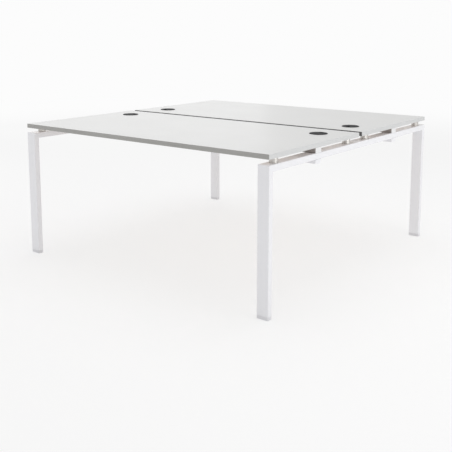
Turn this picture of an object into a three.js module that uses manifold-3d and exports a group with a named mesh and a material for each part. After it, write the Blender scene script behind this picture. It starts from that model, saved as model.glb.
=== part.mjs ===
// Benching desk for two: two tops set back to back on a pair of portal leg frames.
// Millimetres, +Z up, origin on the floor under the middle of the desk, -Y is the front user's side.
import * as THREE from "three";
import { mergeVertices } from "three/addons/utils/BufferGeometryUtils.js";
import Module from "manifold-3d";

// Overall sizes
const DESK_WIDTH = 1600;
const DESK_HEIGHT = 725;
const TOP_DEPTH = 800;
const TOP_GAP = 30;
const TOP_THICKNESS = 22;
const EDGE_BAND = 2;
const EDGE_CORNER = 3;

// Leg frame tube: the wide side lies along X, the narrow side faces the users
const TUBE_WIDTH = 60;
const TUBE_DEPTH = 30;
const TUBE_WALL = 2;
const TUBE_CORNER = 3;
const WELD_GAP = 0.3;

// Spacers between crossbar and top, with the long screws that run through them
const SPACER_HEIGHT = 25;
const SPACER_RADIUS = 20;
const SPACER_CHAMFER = 1;
const SPACER_OUTER_INSET = 75;
const SPACER_INNER_INSET = 82;
const SCREW_RADIUS = 3;
const SCREW_HEAD_RADIUS = 5.5;
const SCREW_HEAD_HEIGHT = 3.3;
const SCREW_BITE = 14;
const HOLE_CLEARANCE = 0.3;

// Beam under each top and the block that clamps it to the crossbar
const FRONT_BEAM_FROM_MIDDLE = 414;
const REAR_BEAM_FROM_MIDDLE = 390;
const BEAM_WIDTH = 50;
const BEAM_WALL = 2;
const BEAM_CORNER = 3;
const CAP_FLANGE = 3;
const CAP_SHANK = 16;
const CLAMP_HEIGHT = 20;
const CLAMP_FILLET = 6;
const BOLT_RADIUS = 4;
const BOLT_HEAD_RADIUS = 6.5;
const BOLT_HEAD_HEIGHT = 5;
const BOLT_SINK = 6;
const BOLT_BITE = 14;
const KEY_ACROSS_FLATS = 4;
const KEY_DEPTH = 2;

// Levelling foot: ribbed insert in the tube end, turning stem, sliding pad
const PAD_HEIGHT = 14;
const PAD_INSET = 0.3;
const PAD_FILLET = 3;
const STOP_GAP = 0.3;
const INSERT_FLANGE = 3;
const INSERT_SHANK = 26;
const INSERT_CLEARANCE = 0.3;
const RIB_DEPTH = 3;
const RIB_THICKNESS = 2;
const RIB_COUNT = 2;
const STEM_RADIUS = 5;
const STEM_LENGTH = 40;
const THREAD_CLEARANCE = 0.15;
const COLLAR_ACROSS_FLATS = 17;
const COLLAR_HEIGHT = 5;
const JOURNAL_RADIUS = 8;
const JOURNAL_HEIGHT = 3;
const SEAT_GAP = 0.3;
const RECESS_CLEARANCE = 0.7;

// Cable grommet: flanged sleeve in the top and a lid that turns in it
const GROMMET_END_INSET = 147;
const GROMMET_EDGE_INSET = 152;
const GROMMET_HOLE_RADIUS = 40;
const FLANGE_OVERLAP = 6;
const FLANGE_HEIGHT = 2.5;
const SLEEVE_WALL = 2;
const SLEEVE_LENGTH = 20;
const SLEEVE_CLEARANCE = 0.3;
const LEDGE_WIDTH = 2.5;
const LID_THICKNESS = 2.5;
const LID_CLEARANCE = 0.4;
const SKIRT_DEPTH = 7;
const SKIRT_WALL = 1.6;
const NOTCH_WIDTH = 22;
const NOTCH_DEPTH = 20;

// Facet counts: corner and notch arcs have twice the steps given
const CORNER_STEPS = 2;
const HIDDEN_CORNER_STEPS = 1;
const NOTCH_STEPS = 4;
const GROMMET_STEPS = 32;
const SPACER_STEPS = 24;
const ROUND_STEPS = 16;
const HOLE_STEPS = 10;

// Levels and lines worked out from the sizes above
const DESK_DEPTH = 2 * TOP_DEPTH + TOP_GAP;
const UNDERSIDE_Z = DESK_HEIGHT - TOP_THICKNESS;
const CROSSBAR_TOP_Z = UNDERSIDE_Z - SPACER_HEIGHT;
const CROSSBAR_UNDER_Z = CROSSBAR_TOP_Z - TUBE_DEPTH;
const CROSSBAR_X = DESK_WIDTH / 2 - TUBE_WIDTH / 2;
const LEG_Y = DESK_DEPTH / 2 - TUBE_DEPTH / 2;
const TOP_CENTRE_Y = TOP_GAP / 2 + TOP_DEPTH / 2;
const INSERT_Z = PAD_HEIGHT + STOP_GAP;
const LEG_END_Z = INSERT_Z + INSERT_FLANGE;
const RECESS_FLOOR_Z = PAD_HEIGHT - SEAT_GAP - JOURNAL_HEIGHT - COLLAR_HEIGHT;
const GROMMET_X = DESK_WIDTH / 2 - GROMMET_END_INSET;
const GROMMET_Y = TOP_GAP / 2 + GROMMET_EDGE_INSET;
const SLEEVE_RADIUS = GROMMET_HOLE_RADIUS - SLEEVE_CLEARANCE;
const SEAT_RADIUS = SLEEVE_RADIUS - SLEEVE_WALL;
const BORE_RADIUS = SEAT_RADIUS - LEDGE_WIDTH;
const SKIRT_RADIUS = BORE_RADIUS - LID_CLEARANCE;
const LID_FLOOR = FLANGE_HEIGHT - LID_THICKNESS;

const SIDES = [
  { name: "left", sign: -1 },
  { name: "right", sign: 1 },
];
const ROWS = [
  { name: "front", sign: -1, beamFromMiddle: FRONT_BEAM_FROM_MIDDLE },
  { name: "rear", sign: 1, beamFromMiddle: REAR_BEAM_FROM_MIDDLE },
];
const SPACER_PLACES = [
  { name: "outer", fromMiddle: TOP_GAP / 2 + TOP_DEPTH - SPACER_OUTER_INSET },
  { name: "inner", fromMiddle: TOP_GAP / 2 + SPACER_INNER_INSET },
];

const wasm = await Module();
wasm.setup();

// Materials
const finish = (color, roughness, metalness) =>
  new THREE.MeshStandardMaterial({ color, roughness, metalness });
const greyBoard = () => finish(0xe0e0de, 0.45, 0);
const greyEdging = () => finish(0xa6a6a8, 0.5, 0);
const whiteSteel = () => finish(0xf0f0f3, 0.4, 0.1);
const greySteel = () => finish(0xa09995, 0.5, 0.2);
const whitePlastic = () => finish(0xeeeeee, 0.5, 0);
const satinSpacer = () => finish(0xa9a6a3, 0.35, 0.8);
const zincScrew = () => finish(0xb8bbbf, 0.35, 0.9);
const greyPlastic = () => finish(0xc6c6ca, 0.55, 0);
const blackPlastic = () => finish(0x1b1b1d, 0.4, 0);

// A closed solid from a three.js geometry, and a geometry back from a solid
function solid(geometry) {
  const bare = geometry.clone();
  bare.deleteAttribute("normal");
  bare.deleteAttribute("uv");
  const merged = mergeVertices(bare, 1e-4);
  return new wasm.Manifold(
    new wasm.Mesh({
      numProp: 3,
      vertProperties: merged.attributes.position.array,
      triVerts: new Uint32Array(merged.index.array),
    }),
  );
}

function geometryOf(body) {
  const data = body.getMesh();
  const geometry = new THREE.BufferGeometry();
  geometry.setAttribute("position", new THREE.BufferAttribute(data.vertProperties, 3));
  geometry.setIndex(new THREE.BufferAttribute(data.triVerts, 1));
  geometry.computeVertexNormals();
  return geometry;
}

const cut = (geometry, tools) =>
  geometryOf(tools.reduce((body, tool) => body.subtract(solid(tool)), solid(geometry)));
const join = (geometry, others) =>
  geometryOf(others.reduce((body, other) => body.add(solid(other)), solid(geometry)));

// A rectangle with round corners about the origin, as an outline or as a hole
function roundedRect(width, depth, radius, path = new THREE.Shape()) {
  const x = width / 2 - radius;
  const y = depth / 2 - radius;
  path.absarc(x, y, radius, 0, Math.PI / 2);
  path.absarc(-x, y, radius, Math.PI / 2, Math.PI);
  path.absarc(-x, -y, radius, Math.PI, 1.5 * Math.PI);
  path.absarc(x, -y, radius, 1.5 * Math.PI, 2 * Math.PI);
  path.closePath();
  return path;
}

// Corner radius inside a bent wall, kept above zero where the wall is as thick as the corner
const innerRadius = (radius, wall) => Math.max(radius - wall, wall / 4);

function hollowRect(width, depth, radius, wall) {
  const shape = roundedRect(width, depth, radius);
  const inside = innerRadius(radius, wall);
  shape.holes.push(roundedRect(width - 2 * wall, depth - 2 * wall, inside, new THREE.Path()));
  return shape;
}

const extrude = (shape, depth, curveSegments = CORNER_STEPS) =>
  new THREE.ExtrudeGeometry(shape, { depth, curveSegments, bevelEnabled: false });

// A round bar standing on z = bottom at (x, y)
function bar(radius, bottom, height, x = 0, y = 0, steps = HOLE_STEPS) {
  const geometry = new THREE.CylinderGeometry(radius, radius, height, steps);
  geometry.rotateX(Math.PI / 2);
  geometry.translate(x, y, bottom + height / 2);
  return geometry;
}

// A profile of [radius, height] points turned about the Z axis
function turned(profile, steps = ROUND_STEPS) {
  const points = profile.map(([radius, height]) => new THREE.Vector2(radius, height));
  const geometry = new THREE.LatheGeometry(points, steps);
  geometry.rotateX(Math.PI / 2);
  return geometry;
}

// Hollow frame tube along +Z whose ends lean by their slope across the narrow side
function frameTube(length, startSlope, endSlope) {
  const section = hollowRect(TUBE_WIDTH, TUBE_DEPTH, TUBE_CORNER, TUBE_WALL);
  const geometry = extrude(section, length);
  const points = geometry.attributes.position;
  for (let i = 0; i < points.count; i += 1) {
    const slope = points.getZ(i) > length / 2 ? endSlope : startSlope;
    points.setZ(i, points.getZ(i) + slope * points.getY(i));
  }
  return geometry;
}

const desk = new THREE.Group();

function place(name, geometry, material, x = 0, y = 0, z = 0, parent = desk) {
  const mesh = new THREE.Mesh(geometry, material);
  mesh.name = name;
  mesh.position.set(x, y, z);
  parent.add(mesh);
  return mesh;
}

// Places along Y where screws and bolts rise through a crossbar
const screwLines = ROWS.flatMap((row) => SPACER_PLACES.map((spot) => row.sign * spot.fromMiddle));
const boltLines = ROWS.map((row) => row.sign * row.beamFromMiddle);

// Board of one top about its own centre: grommet holes through it, pilot holes in its underside
function boardGeometry(row) {
  const width = DESK_WIDTH - 2 * EDGE_BAND;
  const depth = TOP_DEPTH - 2 * EDGE_BAND;
  const shape = new THREE.Shape();
  shape.moveTo(-width / 2, -depth / 2);
  shape.lineTo(width / 2, -depth / 2);
  shape.lineTo(width / 2, depth / 2);
  shape.lineTo(-width / 2, depth / 2);
  shape.closePath();
  const grommetY = row.sign * (GROMMET_Y - TOP_CENTRE_Y);
  const pilots = [];
  for (const side of SIDES) {
    const hole = new THREE.Path();
    hole.absarc(side.sign * GROMMET_X, grommetY, GROMMET_HOLE_RADIUS, 0, 2 * Math.PI);
    shape.holes.push(hole);
    const x = side.sign * CROSSBAR_X;
    for (const spot of SPACER_PLACES) {
      const screwY = row.sign * (spot.fromMiddle - TOP_CENTRE_Y);
      pilots.push(pilotHole(SCREW_RADIUS, SCREW_BITE, x, screwY));
    }
    const boltY = row.sign * (row.beamFromMiddle - TOP_CENTRE_Y);
    pilots.push(pilotHole(BOLT_RADIUS, BOLT_BITE, x, boltY));
  }
  return cut(extrude(shape, TOP_THICKNESS, GROMMET_STEPS / 2), pilots);
}

function pilotHole(radius, bite, x, y) {
  const below = 1;
  return bar(radius + HOLE_CLEARANCE, -below, bite + HOLE_CLEARANCE + below, x, y);
}

// Edging strip that runs round all four sides of a board
function edgeBandGeometry() {
  const shape = roundedRect(DESK_WIDTH, TOP_DEPTH, EDGE_CORNER);
  const x = DESK_WIDTH / 2 - EDGE_BAND;
  const y = TOP_DEPTH / 2 - EDGE_BAND;
  const inside = new THREE.Path();
  inside.moveTo(-x, -y);
  inside.lineTo(x, -y);
  inside.lineTo(x, y);
  inside.lineTo(-x, y);
  inside.closePath();
  shape.holes.push(inside);
  return extrude(shape, TOP_THICKNESS);
}

function addTops() {
  for (const row of ROWS) {
    const y = row.sign * TOP_CENTRE_Y;
    place(`desktop_${row.name}`, boardGeometry(row), greyBoard(), 0, y, UNDERSIDE_Z);
    place(`edge_band_${row.name}`, edgeBandGeometry(), greyEdging(), 0, y, UNDERSIDE_Z);
  }
}

// Portal frame: two legs and a crossbar, mitred at the corners and bored for screws and bolts
function addLegFrames() {
  const legLength = CROSSBAR_TOP_Z - TUBE_DEPTH / 2 - WELD_GAP - LEG_END_Z;
  const barLength = 2 * LEG_Y;
  const overshoot = 1;
  const bore = (radius, y) =>
    bar(radius + HOLE_CLEARANCE, -TUBE_DEPTH / 2 - overshoot, TUBE_DEPTH + 2 * overshoot, 0, y);
  const bores = [
    ...screwLines.map((y) => bore(SCREW_RADIUS, y)),
    ...boltLines.map((y) => bore(BOLT_RADIUS, y)),
  ];
  for (const side of SIDES) {
    const x = side.sign * CROSSBAR_X;
    const lying = frameTube(barLength, 1, -1);
    lying.translate(0, 0, -barLength / 2);
    lying.rotateX(-Math.PI / 2);
    const crossbar = cut(lying, bores);
    const barZ = CROSSBAR_TOP_Z - TUBE_DEPTH / 2;
    place(`${side.name}_crossbar`, crossbar, whiteSteel(), x, 0, barZ);
    for (const row of ROWS) {
      const leg = frameTube(legLength, 0, row.sign);
      place(`${side.name}_${row.name}_leg`, leg, whiteSteel(), x, row.sign * LEG_Y, LEG_END_Z);
    }
  }
}

// Round spacer with chamfered rims, bored for its screw
function spacerGeometry() {
  const bore = SCREW_RADIUS + HOLE_CLEARANCE;
  return turned(
    [
      [bore, 0],
      [SPACER_RADIUS - SPACER_CHAMFER, 0],
      [SPACER_RADIUS, SPACER_CHAMFER],
      [SPACER_RADIUS, SPACER_HEIGHT - SPACER_CHAMFER],
      [SPACER_RADIUS - SPACER_CHAMFER, SPACER_HEIGHT],
      [bore, SPACER_HEIGHT],
      [bore, 0],
    ],
    SPACER_STEPS,
  );
}

// Hexagon key socket, open at the bottom of a screw or bolt head
function keySocket() {
  const corner = KEY_ACROSS_FLATS / Math.sqrt(3);
  return bar(corner, -KEY_DEPTH, 2 * KEY_DEPTH, 0, 0, 6);
}

// Button head screw, head down, with the underside of the head at z = head height
function screwGeometry(radius, length, headRadius, headHeight) {
  const crown = headHeight / 3;
  const body = turned(
    [
      [0, 0],
      [headRadius - crown, 0],
      [headRadius, crown],
      [headRadius, headHeight],
      [radius, headHeight],
      [radius, headHeight + length],
      [0, headHeight + length],
    ],
    HOLE_STEPS,
  );
  return cut(body, [keySocket()]);
}

function addSpacers() {
  const screwLength = TUBE_DEPTH + SPACER_HEIGHT + SCREW_BITE;
  const headZ = CROSSBAR_UNDER_Z - SCREW_HEAD_HEIGHT;
  for (const row of ROWS) {
    for (const side of SIDES) {
      for (const spot of SPACER_PLACES) {
        const x = side.sign * CROSSBAR_X;
        const y = row.sign * spot.fromMiddle;
        const tag = `${row.name}_${side.name}_${spot.name}`;
        const screw = screwGeometry(SCREW_RADIUS, screwLength, SCREW_HEAD_RADIUS, SCREW_HEAD_HEIGHT);
        place(`spacer_${tag}`, spacerGeometry(), satinSpacer(), x, y, CROSSBAR_TOP_Z);
        place(`spacer_screw_${tag}`, screw, zincScrew(), x, y, headZ);
      }
    }
  }
}

// Rectangular beam lying along X, bored where the clamp bolts pass
function beamGeometry() {
  const length = DESK_WIDTH - 2 * CAP_FLANGE;
  const overshoot = 1;
  const lying = extrude(hollowRect(SPACER_HEIGHT, BEAM_WIDTH, BEAM_CORNER, BEAM_WALL), length);
  lying.translate(0, 0, -length / 2);
  lying.rotateY(Math.PI / 2);
  const bores = SIDES.map((side) =>
    bar(
      BOLT_RADIUS + HOLE_CLEARANCE,
      -SPACER_HEIGHT / 2 - overshoot,
      SPACER_HEIGHT + 2 * overshoot,
      side.sign * CROSSBAR_X,
    ),
  );
  return cut(lying, bores);
}

// End cap of a beam: a flange outside and a plug inside the tube, facing +X
function beamCapGeometry() {
  const flange = extrude(roundedRect(SPACER_HEIGHT, BEAM_WIDTH, BEAM_CORNER), CAP_FLANGE);
  const inset = 2 * (BEAM_WALL + INSERT_CLEARANCE);
  const shankRadius = innerRadius(BEAM_CORNER, BEAM_WALL);
  const plug = roundedRect(SPACER_HEIGHT - inset, BEAM_WIDTH - inset, shankRadius);
  const shank = extrude(plug, CAP_SHANK, HIDDEN_CORNER_STEPS);
  shank.translate(0, 0, -CAP_SHANK);
  const cap = join(flange, [shank]);
  cap.rotateY(Math.PI / 2);
  return cap;
}

// Clamp block under the crossbar: round lower edges, a bore and a counterbore for the bolt head
function clampBlockGeometry() {
  const y = BEAM_WIDTH / 2;
  const profile = new THREE.Shape();
  profile.moveTo(y, CLAMP_HEIGHT);
  profile.lineTo(-y, CLAMP_HEIGHT);
  profile.lineTo(-y, CLAMP_FILLET);
  profile.absarc(-y + CLAMP_FILLET, CLAMP_FILLET, CLAMP_FILLET, Math.PI, 1.5 * Math.PI);
  profile.absarc(y - CLAMP_FILLET, CLAMP_FILLET, CLAMP_FILLET, 1.5 * Math.PI, 2 * Math.PI);
  profile.closePath();
  const block = extrude(profile, TUBE_WIDTH);
  block.translate(0, 0, -TUBE_WIDTH / 2);
  block.rotateX(Math.PI / 2);
  block.rotateZ(Math.PI / 2);
  const overshoot = 1;
  const bore = bar(BOLT_RADIUS + HOLE_CLEARANCE, -overshoot, CLAMP_HEIGHT + 2 * overshoot);
  const sinkRadius = BOLT_HEAD_RADIUS + 2 * HOLE_CLEARANCE;
  const sink = bar(sinkRadius, -overshoot, BOLT_SINK + overshoot, 0, 0, ROUND_STEPS);
  return cut(block, [bore, sink]);
}

function addBeams() {
  const beamZ = CROSSBAR_TOP_Z + SPACER_HEIGHT / 2;
  const clampZ = CROSSBAR_UNDER_Z - CLAMP_HEIGHT;
  const boltLength = CLAMP_HEIGHT - BOLT_SINK + TUBE_DEPTH + SPACER_HEIGHT + BOLT_BITE;
  const boltZ = clampZ + BOLT_SINK - BOLT_HEAD_HEIGHT;
  for (const row of ROWS) {
    const y = row.sign * row.beamFromMiddle;
    place(`beam_${row.name}`, beamGeometry(), greySteel(), 0, y, beamZ);
    for (const side of SIDES) {
      const tag = `${row.name}_${side.name}`;
      const x = side.sign * CROSSBAR_X;
      const capX = side.sign * (DESK_WIDTH / 2 - CAP_FLANGE);
      const cap = place(`beam_end_cap_${tag}`, beamCapGeometry(), whitePlastic(), capX, y, beamZ);
      cap.rotation.z = side.sign < 0 ? Math.PI : 0;
      const bolt = screwGeometry(BOLT_RADIUS, boltLength, BOLT_HEAD_RADIUS, BOLT_HEAD_HEIGHT);
      place(`clamp_block_${tag}`, clampBlockGeometry(), whiteSteel(), x, y, clampZ);
      place(`clamp_bolt_${tag}`, bolt, zincScrew(), x, y, boltZ);
    }
  }
}

// Ribbed insert in the end of a leg: flange below, core with ribs that grip the tube, threaded bore
function footInsertGeometry() {
  const flange = extrude(roundedRect(TUBE_WIDTH, TUBE_DEPTH, TUBE_CORNER), INSERT_FLANGE);
  const ribWidth = TUBE_WIDTH - 2 * (TUBE_WALL + INSERT_CLEARANCE);
  const ribDepth = TUBE_DEPTH - 2 * (TUBE_WALL + INSERT_CLEARANCE);
  const radius = innerRadius(TUBE_CORNER, TUBE_WALL);
  const coreOutline = roundedRect(ribWidth - 2 * RIB_DEPTH, ribDepth - 2 * RIB_DEPTH, radius);
  const core = extrude(coreOutline, INSERT_SHANK, HIDDEN_CORNER_STEPS);
  core.translate(0, 0, INSERT_FLANGE);
  const pitch = INSERT_SHANK / RIB_COUNT;
  const ribs = Array.from({ length: RIB_COUNT }, (_, i) => {
    const rib = extrude(roundedRect(ribWidth, ribDepth, radius), RIB_THICKNESS, HIDDEN_CORNER_STEPS);
    rib.translate(0, 0, INSERT_FLANGE + (i + 1) * pitch - RIB_THICKNESS);
    return rib;
  });
  const overshoot = 1;
  const height = INSERT_FLANGE + INSERT_SHANK + 2 * overshoot;
  const bore = bar(STEM_RADIUS + THREAD_CLEARANCE, -overshoot, height, 0, 0, ROUND_STEPS);
  return cut(join(flange, [core, ...ribs]), [bore]);
}

const collarCorner = COLLAR_ACROSS_FLATS / Math.sqrt(3);

// Stem: a journal that turns in the pad, a hexagon collar for a spanner, and the threaded rod
function footStemGeometry() {
  const journal = bar(JOURNAL_RADIUS, 0, JOURNAL_HEIGHT, 0, 0, ROUND_STEPS);
  const collar = bar(collarCorner, JOURNAL_HEIGHT, COLLAR_HEIGHT, 0, 0, 6);
  const rod = bar(STEM_RADIUS, JOURNAL_HEIGHT, COLLAR_HEIGHT + STEM_LENGTH, 0, 0, ROUND_STEPS);
  return join(journal, [collar, rod]);
}

// Pad: the leg's outline with a round lower rim, hollowed on top for the stem's journal and collar
function footPadGeometry() {
  const width = TUBE_WIDTH - 2 * PAD_INSET;
  const depth = TUBE_DEPTH - 2 * PAD_INSET;
  const sole = roundedRect(width - 2 * PAD_FILLET, depth - 2 * PAD_FILLET, TUBE_CORNER);
  const block = new THREE.ExtrudeGeometry(sole, {
    depth: PAD_HEIGHT,
    curveSegments: CORNER_STEPS,
    bevelThickness: PAD_FILLET,
    bevelSize: PAD_FILLET,
    bevelSegments: CORNER_STEPS,
  });
  block.translate(0, 0, PAD_FILLET);
  const above = bar(TUBE_WIDTH, PAD_HEIGHT, TUBE_WIDTH);
  const recessRadius = collarCorner + RECESS_CLEARANCE;
  const recess = bar(recessRadius, RECESS_FLOOR_Z, PAD_HEIGHT, 0, 0, ROUND_STEPS);
  return cut(block, [above, recess]);
}

function addFeet() {
  for (const side of SIDES) {
    for (const row of ROWS) {
      const tag = `${side.name}_${row.name}`;
      const foot = new THREE.Group();
      foot.position.set(side.sign * CROSSBAR_X, row.sign * LEG_Y, 0);
      desk.add(foot);
      const stemZ = RECESS_FLOOR_Z + SEAT_GAP;
      place(`foot_insert_${tag}`, footInsertGeometry(), greyPlastic(), 0, 0, INSERT_Z, foot);
      place(`foot_stem_${tag}`, footStemGeometry(), zincScrew(), 0, 0, stemZ, foot);
      place(`foot_pad_${tag}`, footPadGeometry(), greyPlastic(), 0, 0, 0, foot);
    }
  }
}

// Sleeve of a grommet about the top's surface: flange above, ledge for the lid, open bore
function sleeveGeometry() {
  const flangeRadius = GROMMET_HOLE_RADIUS + FLANGE_OVERLAP;
  return turned(
    [
      [SLEEVE_RADIUS, 0],
      [flangeRadius, 0],
      [flangeRadius, FLANGE_HEIGHT / 2],
      [flangeRadius - FLANGE_HEIGHT / 2, FLANGE_HEIGHT],
      [SEAT_RADIUS, FLANGE_HEIGHT],
      [SEAT_RADIUS, LID_FLOOR - SEAT_GAP],
      [BORE_RADIUS, LID_FLOOR - SEAT_GAP],
      [BORE_RADIUS, -SLEEVE_LENGTH],
      [SLEEVE_RADIUS, -SLEEVE_LENGTH],
      [SLEEVE_RADIUS, 0],
    ],
    GROMMET_STEPS,
  );
}

// Lid: a disc with a round-ended cable notch in its rim and a broken skirt below that centres it
function lidGeometry() {
  const radius = SEAT_RADIUS - LID_CLEARANCE;
  const half = NOTCH_WIDTH / 2;
  const notchEnd = radius - NOTCH_DEPTH + half;
  const disc = bar(radius, 0, LID_THICKNESS, 0, 0, GROMMET_STEPS);
  const skirtWall = [
    [SKIRT_RADIUS - SKIRT_WALL, -SKIRT_DEPTH],
    [SKIRT_RADIUS, -SKIRT_DEPTH],
    [SKIRT_RADIUS, LID_THICKNESS / 2],
    [SKIRT_RADIUS - SKIRT_WALL, LID_THICKNESS / 2],
    [SKIRT_RADIUS - SKIRT_WALL, -SKIRT_DEPTH],
  ];
  const skirt = turned(skirtWall, GROMMET_STEPS);
  const slot = new THREE.Shape();
  slot.moveTo(2 * radius, half);
  slot.absarc(notchEnd, 0, half, 0.5 * Math.PI, 1.5 * Math.PI);
  slot.lineTo(2 * radius, -half);
  slot.closePath();
  const notch = extrude(slot, SKIRT_DEPTH + 2 * LID_THICKNESS, NOTCH_STEPS);
  notch.translate(0, 0, -SKIRT_DEPTH - LID_THICKNESS / 2);
  return cut(join(disc, [skirt]), [notch]);
}

function addGrommets() {
  for (const row of ROWS) {
    for (const side of SIDES) {
      const tag = `${row.name}_${side.name}`;
      const grommet = new THREE.Group();
      grommet.position.set(side.sign * GROMMET_X, row.sign * GROMMET_Y, DESK_HEIGHT);
      desk.add(grommet);
      place(`grommet_sleeve_${tag}`, sleeveGeometry(), blackPlastic(), 0, 0, 0, grommet);
      const lid = place(`grommet_lid_${tag}`, lidGeometry(), blackPlastic(), 0, 0, LID_FLOOR, grommet);
      lid.rotation.z = (-row.sign * Math.PI) / 2;
    }
  }
}

addTops();
addLegFrames();
addSpacers();
addBeams();
addFeet();
addGrommets();

export default desk;
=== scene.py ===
"""Looks of a benching desk for two.

Two light grey tops stand off two white portal leg frames on round spacers. Each class below is one
sub-assembly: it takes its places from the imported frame, works its surfaces out as numpy arrays and
dresses them. Lengths are metres in the frame's own axes: X along the tops, Y from the front seat to
the rear, Z up.
"""

import logging
import math
from abc import ABC, abstractmethod
from collections.abc import Iterator
from dataclasses import dataclass
from enum import Enum
from typing import Any

import bpy
import numpy as np
from mathutils import Euler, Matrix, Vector
from numpy.typing import NDArray


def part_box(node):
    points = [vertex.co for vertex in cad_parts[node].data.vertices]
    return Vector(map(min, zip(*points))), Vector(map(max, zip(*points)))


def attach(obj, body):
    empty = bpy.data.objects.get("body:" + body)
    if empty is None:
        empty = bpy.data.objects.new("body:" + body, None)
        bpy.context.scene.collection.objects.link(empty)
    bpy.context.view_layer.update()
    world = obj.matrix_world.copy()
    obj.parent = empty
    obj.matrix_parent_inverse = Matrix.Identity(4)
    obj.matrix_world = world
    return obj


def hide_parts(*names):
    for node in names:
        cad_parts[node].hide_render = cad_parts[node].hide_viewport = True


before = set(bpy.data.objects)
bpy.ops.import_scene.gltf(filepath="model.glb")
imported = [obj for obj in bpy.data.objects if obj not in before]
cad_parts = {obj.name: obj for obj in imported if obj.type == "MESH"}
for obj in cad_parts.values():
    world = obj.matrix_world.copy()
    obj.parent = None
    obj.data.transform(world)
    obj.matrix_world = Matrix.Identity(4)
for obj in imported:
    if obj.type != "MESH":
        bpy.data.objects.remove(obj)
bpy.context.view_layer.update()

LOG = logging.getLogger("benching_desk")
DESK_BODY = "desk"
EDGE_ATTRIBUTE = "edge"
MM = 0.001
FULL_TURN = 2 * math.pi
QUARTER_TURN = math.pi / 2
CORNER_STEPS = 8  # facets of a rounded corner in plan
RIM_STEPS = 5  # facets of a rounded arris
ROUND_COUNT = 48  # points round a small turned piece
GROMMET_COUNT = 96  # points round a grommet
THREAD_ROWS = 8  # rings in one turn of a thread
THREAD_DEPTH = 0.6  # depth of a thread's groove, in pitches
FLANK_SLOPE = 1.25  # steepness of its flanks; over 1, crests and roots are flat
SHARP_ANGLE = math.radians(35)  # faces that meet at more than this keep a sharp edge
FLATS_WEIGHT = 100  # how far large faces lead the weighted normals; 50 is neutral

MIX_FIRST, MIX_SECOND, MIX_RESULT = 6, 7, 2  # colour sockets of a Mix node
MOTTLE_RATIO = 37.0  # fine features for each broad one in a drift of tone
BROAD_SHARE = 0.65  # share of the broad features in that drift
WAVE_RATIO = 0.16  # waves for each grain of a relief
DRIFT_SPAN = (0.35, 0.65)  # noise that a drift of tone spreads over
NOISE_SPAN = (0.3, 0.7)  # noise that patches of gloss and level lines spread over
WEAR_SPAN = (0.4, 0.7)  # noise that wear spreads over
ARRIS_SPAN = (0.35, 1.0)  # nearness to an arris over which wear grows

Array = NDArray[np.float64]
Numbers = NDArray[np.int64]
Colour = tuple[float, float, float, float]
Place = tuple[float, float, float]
Span = tuple[float, float]
Socket = bpy.types.NodeSocket
Fill = dict[str | int, Any]


def tone(red: int, green: int, blue: int) -> Colour:
    """Turns a display colour into the linear colour that shaders take.

    The display's curve has a straight foot up to 0.04045 and a power of 2.4 above it.

    Args:
        red: red part, 0 to 255
        green: green part, 0 to 255
        blue: blue part, 0 to 255

    Returns:
        The linear colour, opaque
    """
    share = np.array([red, green, blue]) / 255.0
    linear = np.where(share <= 0.04045, share / 12.92, ((share + 0.055) / 1.055) ** 2.4)
    return (*linear.tolist(), 1.0)


WHITE = tone(255, 255, 255)


class Side(Enum):
    """End of the desk, seen from the front seat, with its sign along X."""

    LEFT = -1
    RIGHT = 1


class Row(Enum):
    """Seat of the desk, with its sign along Y."""

    FRONT = -1
    REAR = 1


class Spot(Enum):
    """Place of a spacer on the crossbar: near the leg, or near the gap between the tops."""

    OUTER = "outer"
    INNER = "inner"


class Facing(Enum):
    """Frame direction of a loft's own height; the rows turn the loft's axes into the frame's."""

    UP = ((1, 0, 0), (0, 1, 0), (0, 0, 1))
    DOWN = ((1, 0, 0), (0, -1, 0), (0, 0, -1))
    RIGHT = ((0, 0, 1), (1, 0, 0), (0, 1, 0))
    LEFT = ((0, 0, -1), (-1, 0, 0), (0, 1, 0))
    TO_REAR = ((0, -1, 0), (1, 0, 0), (0, 0, 1))
    TO_FRONT = ((0, 1, 0), (-1, 0, 0), (0, 0, 1))


@dataclass(frozen=True)
class Box:
    """Box of a CAD node at rest.

    Attributes:
        low: its lowest corner
        high: its highest corner
    """

    low: Array
    high: Array

    @classmethod
    def of(cls, node: str) -> "Box":
        """The box of the node with this name."""
        low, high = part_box(node)
        return cls(np.array(low), np.array(high))

    @property
    def size(self) -> Array:
        """Lengths of the box along X, Y and Z."""
        return self.high - self.low

    @property
    def middle(self) -> Array:
        """Centre of the box."""
        return (self.low + self.high) / 2

    @property
    def axis(self) -> Array:
        """The point of the floor under the box's centre."""
        return self.middle * (1, 1, 0)

    @property
    def base(self) -> Array:
        """Centre of the box's underside."""
        return self.axis + (0, 0, self.low[2])


@dataclass(frozen=True)
class Skin:
    """A surface ready for a mesh.

    Attributes:
        points: its vertices, v x 3
        faces: vertex numbers of each face, anticlockwise from outside, in blocks of like faces
        edge: wear of each vertex, from 0 on flats to 1 along a rounded arris
    """

    points: Array
    faces: list[Numbers]
    edge: Array

    def placed(self, centre: Array, facing: Facing = Facing.UP) -> "Skin":
        """The skin turned so that its height runs along the facing, then moved to a centre."""
        turned = self.points @ np.array(facing.value, dtype=float).T
        return Skin(turned + np.asarray(centre), self.faces, self.edge)

    def joined(self, other: "Skin") -> "Skin":
        """Joins another skin to this one, counting its vertices on from this one's.

        Args:
            other: the skin to add

        Returns:
            Both skins as one
        """
        faces = self.faces + [block + len(self.points) for block in other.faces]
        points = np.concatenate([self.points, other.points])
        return Skin(points, faces, np.concatenate([self.edge, other.edge]))


@dataclass(frozen=True)
class Path:
    """A plane curve with its outward directions.

    Attributes:
        points: its points, n x 2, anticlockwise where it is closed
        normals: unit outward directions, n x 2
        edge: 0 on flats to 1 in the middle of a rounded corner, n
    """

    points: Array
    normals: Array
    edge: Array


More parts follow.
